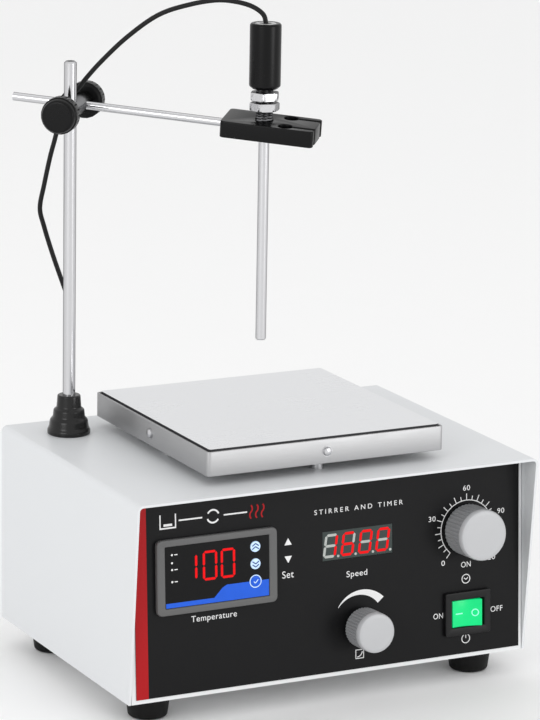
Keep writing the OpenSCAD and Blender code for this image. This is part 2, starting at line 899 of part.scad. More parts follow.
module fuse_holder() {
    color([0.1, 0.1, 0.1]) on_rear(fuse_pos)
    difference() {
        union() {
            disc(12, -26, eps);
            disc(16, 0, 2);
            linear_extrude(height = 8) fluted(6.4, 6, 18);
            translate([0, 0, -sheet - 3]) cylinder(d = 16, h = 3, $fn = 6);
        }
        slab([9, 1.6], 6.8, 9);
    }
}

// ---------------------------------------------------------------- what is drawn

cover();
chassis();
panel_overlay();
feet();
foot_screws();
cover_screws();
heater_tray();
heating_plate();
tray_screws();
plate_posts();
heating_element();
insulation_board();
controller_case();
controller_window();
controller_board();
key_up();
key_down();
key_set();
speed_display();
speed_pot();
speed_shaft();
speed_knob();
timer_body();
timer_shaft();
timer_knob();
switch_housing();
switch_rocker();
rod_socket();
rod_boot();
stand_rod();
clamp_barrel();
rod_knob();
rod_knob_stud();
arm_knob();
arm_knob_stud();
arm_rod();
probe_holder();
probe_stem();
probe_neck();
probe_nuts();
probe_handle();
handle_cap();
cable_upper();
cable_middle();
cable_lower();
probe_plug();
probe_socket();
motor();
motor_bracket();
motor_shaft();
magnet_holder();
drive_magnets();
transformer();
control_board();
mains_inlet();
fuse_holder();
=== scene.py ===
import math

import bmesh
import bpy
from mathutils import Matrix, Vector


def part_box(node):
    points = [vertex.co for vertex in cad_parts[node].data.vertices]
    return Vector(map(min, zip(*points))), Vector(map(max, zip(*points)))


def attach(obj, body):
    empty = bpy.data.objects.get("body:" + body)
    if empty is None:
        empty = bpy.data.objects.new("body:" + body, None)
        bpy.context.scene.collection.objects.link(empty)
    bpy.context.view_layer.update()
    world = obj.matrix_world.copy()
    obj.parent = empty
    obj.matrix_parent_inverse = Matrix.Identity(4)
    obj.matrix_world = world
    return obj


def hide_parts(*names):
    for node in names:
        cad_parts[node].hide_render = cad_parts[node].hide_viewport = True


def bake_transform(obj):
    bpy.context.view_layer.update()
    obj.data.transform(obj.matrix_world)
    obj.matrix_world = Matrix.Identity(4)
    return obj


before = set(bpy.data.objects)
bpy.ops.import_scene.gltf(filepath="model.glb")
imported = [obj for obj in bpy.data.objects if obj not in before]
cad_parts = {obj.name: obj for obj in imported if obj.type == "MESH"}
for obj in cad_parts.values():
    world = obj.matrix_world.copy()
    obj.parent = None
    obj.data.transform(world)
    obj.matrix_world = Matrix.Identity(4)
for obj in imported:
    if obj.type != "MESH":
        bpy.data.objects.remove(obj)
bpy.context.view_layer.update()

# The looks of a hot-plate magnetic stirrer. Pieces are built in millimetres in a local frame, and a
# matrix places each of them in the CAD's frame, which is in metres with +Z up and the panel at -Y.

MM = 0.001
LEAN = math.radians(3.4)        # the front panel leans back
ARM_TURN = math.radians(39)     # compass turn of the arm, from +X towards the front
ARM_DROOP = math.radians(4)     # droop of the arm below level
ARM_ROLL = math.radians(6)      # roll of the holder about the arm, its front edge down
ARM_OFFSET = 14.3               # along the clamp's barrel, from the rod to the arm
FILM = 0.4                      # thickness of the panel's film
PRINT = 0.05                    # thickness of an ink layer
# Places on the panel, in millimetres: x from its middle, then height up its face
CONTROLLER_AT = (-60.1, 58.4)
KEY_X, SET_V = -40.6, 51.6      # the controller's column of keys, and the height of its set key
SPEED_AT = (15.3, 22.8)
TIMER_AT = (73.1, 63)
SWITCH_AT = (72.8, 22.2)

# ------------------------------------------------------------------ frames


def middle(node):
    low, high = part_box(node)
    return (low + high) / 2


def placed(x, y, z):
    """Frame in millimetres with its origin at x, y, z metres."""
    return Matrix.Translation((x, y, z)) @ Matrix.Scale(MM, 4)


def shifted(x, y, z=0):
    return Matrix.Translation((x, y, z))


def turned(degrees, axis):
    return Matrix.Rotation(math.radians(degrees), 4, axis)


back_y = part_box("cover")[1].y
panel_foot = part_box("chassis")[0]
PANEL = (Matrix.Translation((0, panel_foot.y, panel_foot.z))
         @ Matrix.Rotation(math.pi / 2 - LEAN, 4, "X") @ Matrix.Scale(MM, 4))
rod = middle("stand_rod")
CLAMP = placed(rod.x, rod.y, middle("clamp_barrel").z) @ Matrix.Rotation(-ARM_TURN, 4, "Z")
ARM = (CLAMP @ shifted(0, ARM_OFFSET) @ Matrix.Rotation(ARM_DROOP, 4, "Y")
       @ Matrix.Rotation(ARM_ROLL, 4, "X"))
ROD_KNOB = CLAMP @ shifted(0, -13.8) @ turned(90, "X")
ARM_KNOB = CLAMP @ shifted(0, 25.3) @ turned(-90, "X")
stem = middle("probe_stem")
PROBE = placed(stem.x, stem.y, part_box("probe_handle")[0].z)
plate = middle("heating_plate")
HEATER = placed(0, plate.y, 0)
BOOT = placed(rod.x, rod.y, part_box("cover")[1].z)


def on_panel(x, v):
    """Frame at x and height v up the panel, +Z out of it."""
    return PANEL @ shifted(x, v)


# ------------------------------------------------------------------ materials


def colour(red, green, blue):
    """Linear colour from 8-bit sRGB values."""
    def linear(c):
        c /= 255
        return c / 12.92 if c <= 0.04045 else ((c + 0.055) / 1.055) ** 2.4
    return (linear(red), linear(green), linear(blue), 1)


def shades(rgba, factor):
    return tuple(min(1, c * factor) for c in rgba[:3]) + (1,)


def add_noise(nodes, links, coords, scale, stretch=(1, 1, 1), detail=4):
    mapping = nodes.new("ShaderNodeMapping")
    mapping.inputs["Scale"].default_value = stretch
    links.new(coords, mapping.inputs["Vector"])
    noise = nodes.new("ShaderNodeTexNoise")
    noise.inputs["Scale"].default_value = scale
    noise.inputs["Detail"].default_value = detail
    links.new(mapping.outputs["Vector"], noise.inputs["Vector"])
    return noise.outputs["Fac"]


def add_range(nodes, links, value, low, high, start=0.3, end=0.7):
    spread = nodes.new("ShaderNodeMapRange")
    for name, number in (("From Min", start), ("From Max", end), ("To Min", low), ("To Max", high)):
        spread.inputs[name].default_value = number
    links.new(value, spread.inputs["Value"])
    return spread.outputs["Result"]


def surface(name, rgba, roughness, metal=0, specular=0.5, grain=900, stretch=(1, 1, 1), bump=0.05,
            depth=0.0002, mottle=0.06, patch=35, uneven=0.15, glow=None, edge=None):
    """Material with grain in its bump, patches in its roughness and a slow drift in its colour."""
    made = bpy.data.materials.new(name)
    made.use_nodes = True
    nodes, links = made.node_tree.nodes, made.node_tree.links
    shader = nodes["Principled BSDF"]
    shader.inputs["Metallic"].default_value = metal
    shader.inputs["Specular IOR Level"].default_value = specular
    if edge is not None:
        shader.inputs["Specular Tint"].default_value = (edge, edge, edge, 1)
    coords = nodes.new("ShaderNodeTexCoord").outputs["Object"]
    fine = add_noise(nodes, links, coords, grain, stretch)
    broad = add_noise(nodes, links, coords, patch, detail=2)
    tint = nodes.new("ShaderNodeMix")
    tint.data_type = "RGBA"
    tint.inputs["A"].default_value = shades(rgba, 1 - mottle)
    tint.inputs["B"].default_value = shades(rgba, 1 + mottle)
    blend = nodes.new("ShaderNodeMath")
    blend.operation = "MULTIPLY_ADD"
    blend.inputs[1].default_value = 0.5
    links.new(fine, blend.inputs[0])
    half = nodes.new("ShaderNodeMath")
    half.operation = "MULTIPLY"
    half.inputs[1].default_value = 0.5
    links.new(broad, half.inputs[0])
    links.new(half.outputs[0], blend.inputs[2])
    links.new(blend.outputs[0], tint.inputs["Factor"])
    links.new(tint.outputs["Result"], shader.inputs["Base Color"])
    rough = add_range(nodes, links, blend.outputs[0], roughness * (1 - uneven),
                      min(1, roughness * (1 + uneven)))
    links.new(rough, shader.inputs["Roughness"])
    relief = nodes.new("ShaderNodeBump")
    relief.inputs["Strength"].default_value = bump
    relief.inputs["Distance"].default_value = depth
    links.new(fine, relief.inputs["Height"])
    links.new(relief.outputs["Normal"], shader.inputs["Normal"])
    if glow:
        links.new(tint.outputs["Result"], shader.inputs["Emission Color"])
        shader.inputs["Emission Strength"].default_value = glow
    return made


FINISH = {
    "coat": surface("powder_coat", colour(219, 221, 223), 0.4, grain=1500, bump=0.14, mottle=0.02),
    "coat_inner": surface("powder_coat_chassis", colour(226, 227, 228), 0.4, grain=1500, bump=0.14,
                          mottle=0.02),
    "film": surface("printed_film", colour(20, 20, 21), 0.4, specular=0.12, grain=2600, bump=0.05,
                    mottle=0.1),
    "ink_red": surface("red_ink", colour(168, 20, 26), 0.45, specular=0.15, grain=2600, mottle=0.05),
    "ink_white": surface("white_ink", colour(230, 230, 230), 0.5, grain=2600, mottle=0.03),
    "rubber": surface("foot_rubber", colour(13, 13, 13), 0.6, specular=0.2, grain=1400, bump=0.25,
                      mottle=0.15),
    "zinc": surface("zinc_screw", colour(205, 205, 207), 0.3, metal=1, grain=1800, bump=0.1, edge=0.3),
    "tray": surface("brushed_tray", colour(184, 184, 185), 0.48, metal=1, grain=70,
                    stretch=(1, 1, 40), bump=0.14, mottle=0.1, edge=0.6),
    "plate": surface("ground_plate", colour(226, 227, 229), 0.3, metal=0.7, grain=60,
                     stretch=(1, 30, 1), bump=0.04, mottle=0.025),
    # Dark grey for the plate's side faces: painted shade of the gap between plate and tray rim.
    "plate_edge": surface("plate_edge", colour(60, 60, 62), 0.6, specular=0.1, grain=400, mottle=0.1),
    "dark": surface("dark_fibre", colour(40, 38, 36), 0.8, grain=700, bump=0.3, mottle=0.2),
    "board": surface("fibre_board", colour(190, 175, 145), 0.8, grain=500, bump=0.3, mottle=0.12),
    "bezel": surface("bezel_plastic", colour(95, 95, 95), 0.5, specular=0.3, grain=2200, bump=0.15,
                     mottle=0.05),
    "window": surface("window_plastic", colour(13, 13, 14), 0.16, specular=0.15, grain=300, bump=0.01,
                      mottle=0.1),
    "circuit": surface("solder_mask", colour(30, 105, 60), 0.4, grain=500, bump=0.2, mottle=0.15),
    "face": surface("display_face", colour(55, 64, 62), 0.4, specular=0.2, grain=1800, mottle=0.08),
    "knob": surface("knob_plastic", colour(182, 183, 185), 0.4, grain=1900, bump=0.1, mottle=0.03),
    # The knob's plastic made darker for its ridged side: painted shade.
    "knob_ridges": surface("knob_plastic_painted_shade", colour(146, 147, 149), 0.38, grain=1900, bump=0.12,
                           mottle=0.06),
    "grip": surface("grip_plastic", colour(8, 8, 9), 0.3, specular=0.18, grain=1500, bump=0.08,
                    mottle=0.15),
    "boot": surface("boot_rubber", colour(12, 12, 12), 0.24, specular=0.4, grain=1300, bump=0.08,
                    mottle=0.15),
    "black": surface("black_plastic", colour(16, 16, 17), 0.42, specular=0.25, grain=1700, bump=0.12,
                     mottle=0.12),
    "steel": surface("polished_steel", colour(206, 206, 208), 0.14, metal=1, grain=90,
                     stretch=(1, 1, 30), bump=0.04, mottle=0.04, edge=0.12),
    "turned": surface("turned_steel", colour(214, 214, 216), 0.24, metal=1, grain=900, bump=0.06,
                      mottle=0.06, edge=0.2),
    "neck": surface("threaded_steel", colour(120, 120, 122), 0.3, metal=1, grain=900, bump=0.06,
                    mottle=0.1, edge=0.2),
    "cap": surface("cap_plastic", colour(190, 190, 190), 0.4, grain=1500, bump=0.1),
    "sheath": surface("cable_sheath", colour(16, 16, 17), 0.48, specular=0.25, grain=1100, bump=0.15,
                      mottle=0.12),
    "copper": surface("varnished_winding", colour(140, 75, 35), 0.4, metal=0.6, grain=200,
                      stretch=(1, 1, 12), bump=0.3),
    "digit": surface("lit_red", colour(206, 6, 12), 0.4, specular=0.1, grain=1200, mottle=0.12,
                     glow=0.45),
    "unlit": surface("unlit_segment", colour(172, 176, 172), 0.5, grain=1200, mottle=0.06),
    "blue": surface("lit_blue", colour(28, 88, 205), 0.35, specular=0.2, grain=300, patch=60,
                    mottle=0.12, glow=0.08),
    "pale": surface("lit_pale", colour(190, 216, 246), 0.35, grain=400, mottle=0.06, glow=0.2),
    "navy": surface("navy_ink", colour(30, 66, 124), 0.4, grain=2000, mottle=0.06),
    "green": surface("lit_green", colour(0, 205, 118), 0.25, specular=0.3, grain=120, patch=90,
                     mottle=0.14, glow=0.3),
    "mint": surface("mint_ink", colour(150, 250, 214), 0.4, grain=1500, mottle=0.05, glow=0.2),
}

CAD_LOOKS = {
    "coat": ["cover"],
    "coat_inner": ["chassis"],
    "film": ["panel_overlay"],
    "zinc": ["foot_screws", "cover_screws", "plate_posts", "motor_bracket"],
    "dark": ["heating_element"],
    "board": ["insulation_board"],
    "window": ["controller_window"],
    "circuit": ["controller_board", "control_board"],
    "face": ["speed_display"],
    "black": ["speed_pot", "timer_body", "mains_inlet", "fuse_holder", "motor"],
    "turned": ["speed_shaft", "timer_shaft", "motor_shaft", "magnet_holder", "drive_magnets",
               "rod_socket", "probe_socket", "probe_plug", "rod_knob_stud", "arm_knob_stud"],
    "steel": ["stand_rod", "arm_rod", "clamp_barrel", "probe_stem"],
    "copper": ["transformer"],
}


def dress_cad_nodes():
    for finish, names in CAD_LOOKS.items():
        for name in names:
            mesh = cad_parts[name].data
            mesh.materials.clear()
            mesh.materials.append(FINISH[finish])


# ------------------------------------------------------------------ shapes


def fillet(points, radius, closed=True, steps=5):
    """The outline with each corner rounded to about that radius."""
    corners = [Vector(p) for p in points]
    out = []
    for i, p in enumerate(corners):
        if not closed and i in (0, len(corners) - 1):
            out.append(tuple(p))
            continue
        before, after = corners[i - 1], corners[(i + 1) % len(corners)]
        u, w = (before - p), (after - p)
        reach = min(radius, 0.45 * u.length, 0.45 * w.length)
        a, b = p + u.normalized() * reach, p + w.normalized() * reach
        for k in range(steps + 1):
            t = k / steps
            out.append(tuple((1 - t) ** 2 * a + 2 * t * (1 - t) * p + t * t * b))
    return out


def rectangle(width, height, x=0, y=0):
    w, h = width / 2, height / 2
    return [(x - w, y - h), (x + w, y - h), (x + w, y + h), (x - w, y + h)]


def arc(radius, start, end, steps=24, centre=(0, 0)):
    """Points from start to end degrees."""
    angles = [math.radians(start + (end - start) * k / steps) for k in range(steps + 1)]
    return [(centre[0] + radius * math.cos(a), centre[1] + radius * math.sin(a)) for a in angles]


def circle(radius, centre=(0, 0), steps=40):
    return arc(radius, 0, 360, steps, centre)[:-1]


def band(radius, width, start, end, centre=(0, 0), steps=48):
    """Outline of a stroke along an arc."""
    outer = arc(radius + width / 2, start, end, steps, centre)
    inner = arc(radius - width / 2, end, start, steps, centre)
    return outer + inner


def stroke(a, b, width):
    """Outline of a straight stroke from a to b."""
    a, b = Vector(a), Vector(b)
    side = (b - a).orthogonal().normalized() * width / 2
    return [tuple(a - side), tuple(b - side), tuple(b + side), tuple(a + side)]


def extruded(outlines, low, high, bevel=0):
    """Solid between two heights. An outline inside another is a hole."""
    curve = bpy.data.curves.new("outline", "CURVE")
    curve.dimensions = "2D"
    curve.fill_mode = "BOTH"
    curve.extrude = (high - low) / 2 - bevel
    curve.bevel_depth = bevel
    curve.bevel_resolution = 2
    curve.offset = -bevel
    for outline in outlines:
        spline = curve.splines.new("POLY")
        spline.points.add(len(outline) - 1)
        for point, (x, y) in zip(spline.points, outline):
            point.co = (x, y, 0, 1)
        spline.use_cyclic_u = True
    return from_curve(curve, (low + high) / 2)


def from_curve(curve, height=0):
    holder = bpy.data.objects.new("outline", curve)
    bpy.context.scene.collection.objects.link(holder)
    graph = bpy.context.evaluated_depsgraph_get()
    mesh = bpy.data.meshes.new_from_object(holder.evaluated_get(graph))
    built = bmesh.new()
    built.from_mesh(mesh)
    bmesh.ops.remove_doubles(built, verts=built.verts, dist=0.0005)
    bmesh.ops.translate(built, verts=built.verts, vec=(0, 0, height))
    bpy.data.objects.remove(holder)
    bpy.data.curves.remove(curve)
    bpy.data.meshes.remove(mesh)
    return built


def letters(words, height, width, spacing):
    """Words centred on the origin, with capitals of that height, squeezed to that width."""
    font = bpy.data.curves.new("words", "FONT")
    font.body = words
    font.align_x = "CENTER"
    font.size = height / 0.7
    font.space_character = spacing
    font.extrude = PRINT / 2
    built = from_curve(font)
    low = min(v.co.x for v in built.verts)
    high = max(v.co.x for v in built.verts)
    squeeze = width / (high - low)
    for v in built.verts:
        v.co.x = (v.co.x - (low + high) / 2) * squeeze
        v.co.y -= height / 2
    return built


def join_rings(built, lower, upper):
    if len(lower) == 1 or len(upper) == 1:
        tip, ring = (lower, upper) if len(lower) == 1 else (upper, lower)
        for a, b in zip(ring, ring[1:] + ring[:1]):
            built.faces.new((tip[0], a, b))
        return
    for i in range(len(lower)):
        j = (i + 1) % len(lower)
        built.faces.new((lower[i], lower[j], upper[j], upper[i]))


def lathe(profile, sides=64, shape=None):
    """Turned solid through (radius, height) points. shape(radius, height, angle) gives a radius."""
    built = bmesh.new()
    rings = []
    for radius, height in profile:
        if radius < 1e-6:
            rings.append([built.verts.new((0, 0, height))])
            continue
        ring = []
        for k in range(sides):
            angle = 2 * math.pi * k / sides
            r = shape(radius, height, angle) if shape else radius
            ring.append(built.verts.new((r * math.cos(angle), r * math.sin(angle), height)))
        rings.append(ring)
    for lower, upper in zip(rings, rings[1:]):
        join_rings(built, lower, upper)
    return built


def rounded_lathe(points, radius, sides=64, shape=None, steps=4):
    return lathe(fillet(points, radius, closed=False, steps=steps), sides, shape)


def merged(parts):
    """One mesh from several, each with the matrix that places it."""
    whole = bmesh.new()
    for part, matrix in parts:
        part.transform(matrix)
        scrap = bpy.data.meshes.new("part")
        part.to_mesh(scrap)
        whole.from_mesh(scrap)
        part.free()
        bpy.data.meshes.remove(scrap)
    return whole


def tube(path, radius, sides=16):
    """Round tube along a path, with frames carried along it."""
    built = bmesh.new()
    points = [Vector(p) for p in path]
    last = len(points) - 1
    side = Vector((0.3, 0.2, 1)).normalized()
    rings = []
    for i, p in enumerate(points):
        along = (points[min(i + 1, last)] - points[max(i - 1, 0)]).normalized()
        side = (side - side.dot(along) * along).normalized()
        other = along.cross(side)
        rings.append([built.verts.new(p + radius * (math.cos(a) * side + math.sin(a) * other))
                      for a in (2 * math.pi * k / sides for k in range(sides))])
    for lower, upper in zip(rings, rings[1:]):
        join_rings(built, lower, upper)
    for ring in (rings[0], rings[-1]):
        built.faces.new(ring)
    return built


# ------------------------------------------------------------------ pieces


def piece(name, built, matrix, finish, body="cabinet", stands_for=(), smooth=35,
          second=None):
    """Puts a finished mesh in the scene, in metres, riding on a CAD body."""
    built.transform(matrix)
    bmesh.ops.recalc_face_normals(built, faces=built.faces)
    mesh = bpy.data.meshes.new(name)
    built.to_mesh(mesh)
    built.free()
    made = bpy.data.objects.new(name, mesh)
    bpy.context.scene.collection.objects.link(made)
    for look in filter(None, (finish, second)):
        mesh.materials.append(FINISH[look])
    mesh.polygons.foreach_set("use_smooth", [True] * len(mesh.polygons))
    mesh.set_sharp_from_angle(angle=math.radians(smooth))
    if body:
        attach(made, body)
    if stands_for:
        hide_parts(*stands_for)
    return made


def printed(name, outlines, x, v, ink="ink_white", base=FILM, body="cabinet"):
    """Ink shapes on the panel, apart from each other, standing on height base."""
    parts = [(extruded(group, base, base + PRINT), Matrix()) for group in outlines]
    piece(name, merged(parts), on_panel(x, v), ink, body)


def written(name, words, x, v, height, width, spacing=1.08):
    """White words on the panel's film."""
    at = on_panel(x, v) @ shifted(0, 0, FILM + PRINT / 2)
    piece(name, letters(words, height, width, spacing), at, "ink_white")


# ------------------------------------------------------------------ camera, light and floor

CAMERA_AT = (-0.802, back_y - 1.644, 0.577)
CAMERA_YAW, CAMERA_PITCH, CAMERA_ROLL = (math.radians(a) for a in (27.15, 13.63, 0.99))
CAMERA_LENS = 189.25


def add_camera():
    camera = bpy.data.objects.new("camera", bpy.data.cameras.new("camera"))
    bpy.context.scene.collection.objects.link(camera)
    camera.data.lens = CAMERA_LENS
    camera.data.sensor_width = 36
    ahead = Vector((math.sin(CAMERA_YAW) * math.cos(CAMERA_PITCH),
                    math.cos(CAMERA_YAW) * math.cos(CAMERA_PITCH), -math.sin(CAMERA_PITCH)))
    right = Vector((math.cos(CAMERA_YAW), -math.sin(CAMERA_YAW), 0))
    up = right.cross(ahead)
    rolled_right = math.cos(CAMERA_ROLL) * right + math.sin(CAMERA_ROLL) * up
    rolled_up = -math.sin(CAMERA_ROLL) * right + math.cos(CAMERA_ROLL) * up
    axes = Matrix((rolled_right, rolled_up, -ahead)).transposed().to_4x4()
    camera.matrix_world = Matrix.Translation(CAMERA_AT) @ axes
    bpy.context.scene.camera = camera


def add_softbox(name, at, width, height, power):
    """Soft rectangular lamp aimed at the cabinet."""
    light = bpy.data.lights.new(name, "AREA")
    light.shape = "RECTANGLE"
    light.size, light.size_y = width, height
    light.energy = power
    holder = bpy.data.objects.new(name, light)
    bpy.context.scene.collection.objects.link(holder)
    aim = (Vector((0, 0, 0.1)) - Vector(at)).to_track_quat("-Z", "Y")
    holder.matrix_world = Matrix.Translation(at) @ aim.to_matrix().to_4x4()


def add_studio():
    scene = bpy.context.scene
    scene.view_settings.view_transform = "Standard"
    world = bpy.data.worlds.new("studio")
    scene.world = world
    world.use_nodes = True
    background = world.node_tree.nodes["Background"]
    background.inputs["Color"].default_value = (1, 1, 1, 1)
    background.inputs["Strength"].default_value = 0.92
    add_softbox("key", (-1.6, -1.0, 0.75), 0.9, 0.9, 7)
    add_softbox("front", (1.0, -1.8, 0.35), 0.7, 0.5, 8)
    add_softbox("overhead", (0.1, 0.3, 1.7), 0.8, 0.8, 0.6)

    ground = bmesh.new()
    bmesh.ops.create_circle(ground, cap_ends=True, segments=96, radius=6)
    floor = piece("floor", ground, shifted(0, 0, -0.0002), "floor", body=None)


# ------------------------------------------------------------------ probe cable

CABLE_R = 1.15
# The route's points, in millimetres: x, distance behind the rear face, height above the desk
UPPER = [
    (-0.8, -71.4, 305.9), (-0.8, -71.4, 311.9), (-2.3, -70.2, 316.5), (-8.2, -65.6, 320.3),
    (-18.7, -58.3, 321.8), (-30.7, -49.8, 319), (-42.7, -41.3, 313.5), (-54.7, -32.8, 302.5),
    (-64.7, -25.8, 290.5), (-70.7, -21.5, 282), (-74.2, -18.8, 276.3),
]
MIDDLE = [
    (-74.2, -18.8, 276.3), (-77.3, -16.4, 274.9), (-79.7, -14.5, 271.9), (-80.7, -14, 267),
    (-81.3, -14, 261.5), (-83, -13.8, 253.4), (-85.5, -13, 243.3), (-87.9, -11.7, 230.1),
    (-89.5, -10.4, 218.8), (-87.2, -9.9, 209.7), (-82.3, -9.1, 195.4), (-77, -8.6, 181.3),
    (-72.8, -8.3, 170.2), (-71.6, -8, 163),
]
LOWER = [
    (-71.6, -8, 163), (-71, -6.5, 150), (-69.5, -3, 135), (-67.5, 1.5, 120), (-65.5, 6.5, 106),
    (-64, 14, 95), (-63.3, 26, 86), (-63, 40, 80), (-63, 52, 73), (-63, 55, 65), (-63, 50, 58.5),
    (-63, 42, 57), (-63, 34, 57),
]


def along_route(stretches, steps=6):
    """One smooth curve through all the stretches' points, cut back into stretches, in metres."""
    points = [Vector(p) for i, s in enumerate(stretches) for p in (s if i == 0 else s[1:])]
    smooth = []
    for i in range(len(points) - 1):
        a, b, c = points[max(i - 1, 0)], points[i], points[i + 1]
        d = points[min(i + 2, len(points) - 1)]
        for k in range(steps):
            t = k / steps
            smooth.append(0.5 * (2 * b + (c - a) * t + (2 * a - 5 * b + 4 * c - d) * t * t
                                 + (3 * b - a - 3 * c + d) * t ** 3))
    smooth.append(points[-1])
    behind = Vector((0, back_y, 0))
    out, start = [], 0
    for stretch in stretches:
        end = start + (len(stretch) - 1) * steps
        out.append([behind + p * MM for p in smooth[start:end + 1]])
        start = end
    return out


def add_cable():
    paths = along_route([UPPER, MIDDLE, LOWER])
    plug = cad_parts["probe_plug"]
    rows = [("cable_over_clamp", "cable_upper", "clamp", "arm", "object", []),
            ("cable_down_rod", "cable_middle", "stand", "clamp", "object", []),
            ("cable_to_plug", "cable_lower", "cabinet", "stand", "connector", [plug])]
    for path, (name, node, low_body, high_body, far_end, on_it) in zip(paths, rows):
        made = piece(name, tube(path, CABLE_R * MM), Matrix(), "sheath", body=None,
                     stands_for=[node], smooth=60)
        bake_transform(made)


# ------------------------------------------------------------------ heater


def add_heater():
    """Tray with its four screws, and the ground plate whose side faces are dark grey, painted shade of the
    gap under its edge.
    """
    side, wall = 124, 1
    base, rim_top = (round(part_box("heater_tray")[k].z / MM, 3) for k in (0, 1))
    rim = extruded([fillet(rectangle(side, side), 2),
                    fillet(rectangle(side - 2 * wall, side - 2 * wall), 0.6)], base, rim_top, 0.25)
    floor = extruded([rectangle(side - 1.5, side - 1.5)], base + 0.3, base + wall)
    piece("tray", merged([(rim, Matrix()), (floor, Matrix())]), HEATER, "tray",
          stands_for=["heater_tray"])
    low, high = (round(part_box("heating_plate")[k].z / MM, 3) for k in (0, 1))
    top = extruded([fillet(rectangle(120.6, 120.6), 1.5)], low, high, 0)
    # Side faces take the second look, dark grey: painted shade of the gap under the plate's edge.
    for face in top.faces:
        face.normal_update()
        face.material_index = int(abs(face.normal.z) < 0.5)
    piece("hot_plate", top, HEATER, "plate", stands_for=["heating_plate"],
          second="plate_edge")
    screws = []
    for turn in (0, 90, 180, 270):
        head = lathe([(0, -0.1), (2.15, -0.1), (2.2, 0.5), (1.95, 1.05), (1.3, 1.4), (0, 1.5)], 48)
        seat = lathe([(0, 0), (2.6, 0), (2.6, 0.15), (0, 0.15)], 48)
        at = turned(turn, "Z") @ shifted(side / 2, 0, (base + rim_top) / 2) @ turned(90, "Y")
        for part in (head, seat):
            screws.append((part, at))
    piece("tray_screw_heads", merged(screws), HEATER, "zinc", stands_for=["tray_screws"])


# ------------------------------------------------------------------ stand, clamp and probe


def hexagon_radius(across_flats):
    def shape(radius, height, angle):
        turn = (angle + math.pi / 6) % (math.pi / 3) - math.pi / 6
        return min(radius, across_flats / 2 / math.cos(turn))
    return shape


def grip(knob_r=8.9, ridges=20, depth=0.6):
    """Clamp grip with small rounded ridges and a smooth nose a little smaller."""
    def shape(radius, height, angle):
        if not 0.6 < height < 6.6 or radius < knob_r - 0.1:
            return radius
        wave = abs(math.sin(ridges * angle / 2))
        return radius - depth * (1 - wave ** 0.6)
    profile = [(2.6, 0), (7.3, 0), (8.2, 0.7), (knob_r, 0.9), (knob_r, 6.4), (8.2, 6.8), (8, 8.1),
               (7.6, 9.1), (6.7, 9.5), (0, 9.5)]
    return rounded_lathe(profile, 0.35, sides=ridges * 10, shape=shape, steps=3)


def prong_block():
    """Outline of the probe holder in the arm's frame: two keyholes with slits to the right end."""
    left, right, half = 72, 117, 11.6
    hole_x, hole_y, hole_r, slit = 102.7, 7.1, 3.5, 1
    opening = math.degrees(math.asin(slit / hole_r))
    outline = arc(2, 90, 180, 5, (left + 2, half - 2)) + arc(2, 180, 270, 5, (left + 2, 2 - half))
    for s in (-1, 1):
        end = 2 if s < 0 else 1
        outline += arc(end, -90, 0, 4, (right - end, s * half + end if s < 0 else -hole_y + slit + end))
        outline += arc(0.8, 0, 90, 3, (right - 0.8, s * hole_y - slit - 0.8))
        outline += arc(hole_r, -opening, opening - 360, 32, (hole_x, s * hole_y))
    outline += arc(0.8, -90, 0, 3, (right - 0.8, hole_y + slit + 0.8))
    outline += arc(2, 0, 90, 5, (right - 2, half - 2))
    return outline


def thread(radius, pitch, depth, low, high, sides=36, per_turn=8):
    """Screw thread standing up Z."""
    count = round((high - low) / pitch * per_turn)
    profile = [(0, low)] + [(radius, low + (high - low) * k / count) for k in range(count + 1)] + [(0, high)]

    def shape(r, height, angle):
        phase = (height / pitch - angle / (2 * math.pi)) % 1
        return r - depth * abs(2 * phase - 1)
    return lathe(profile, sides, shape)


def add_stand():
    boot = rounded_lathe([(3.05, 0), (10.4, 0), (10.4, 2.2), (9.65, 3.4), (9.15, 7), (7.8, 8.4),
                          (7.45, 12), (6, 13), (5.6, 18.8), (5.2, 19.2), (3.05, 19.2)], 0.7, 72)
    piece("boot", boot, BOOT, "boot", stands_for=["rod_boot"])
    piece("rod_grip", grip(), ROD_KNOB, "grip", "rod_clamp_screw", ["rod_knob"])
    piece("arm_grip", grip(), ARM_KNOB, "grip", "arm_clamp_screw", ["arm_knob"])


def add_probe():
    outline = prong_block()
    neck_at = Vector((91.2, 0))
    block = extruded([outline, circle(4.25, neck_at, 48)], -4, 4, 0.45)
    plumb = ARM.to_3x3().inverted() @ Vector((0, 0, 1))
    for v in block.verts:
        if (v.co.xy - neck_at).length < 5:
            v.co.xy += v.co.z / plumb.z * plumb.xy
    piece("holder", block, ARM, "grip", "arm", ["probe_holder"])
    piece("neck", thread(4.2, 1.25, 0.4, -21.5, 0.5), PROBE, "neck", "arm", ["probe_neck"])
    nut = [(4.1, 0), (6.7, 0), (7.28, 0.35), (7.28, 3.35), (6.7, 3.7), (4.1, 3.7)]
    nuts = [(lathe(nut, 96, hexagon_radius(12.6)), shifted(0, 0, z) @ turned(turn, "Z"))
            for z, turn in ((-10.3, 15), (-5.3, 27))]
    piece("lock_nuts", merged(nuts), PROBE, "turned", "arm", ["probe_nuts"])
    handle = rounded_lathe([(0, 0), (5.9, 0), (7.45, 1.4), (7.5, 2.4), (7.5, 30.4), (6.8, 31.2),
                            (5.2, 31.2), (5.2, 23.2), (0, 23.2)], 0.3, 72)
    piece("handle", handle, PROBE, "grip", "arm", ["probe_handle"])
    cap = rounded_lathe([(0, 23.3), (5.15, 23.3), (5.15, 31.15), (3, 31.15), (3, 25.2), (0, 25.2)],
                        0.4, 64)
    piece("mouth_bush", cap, PROBE, "cap", "arm", ["handle_cap"])


# ------------------------------------------------------------------ feet and knobs


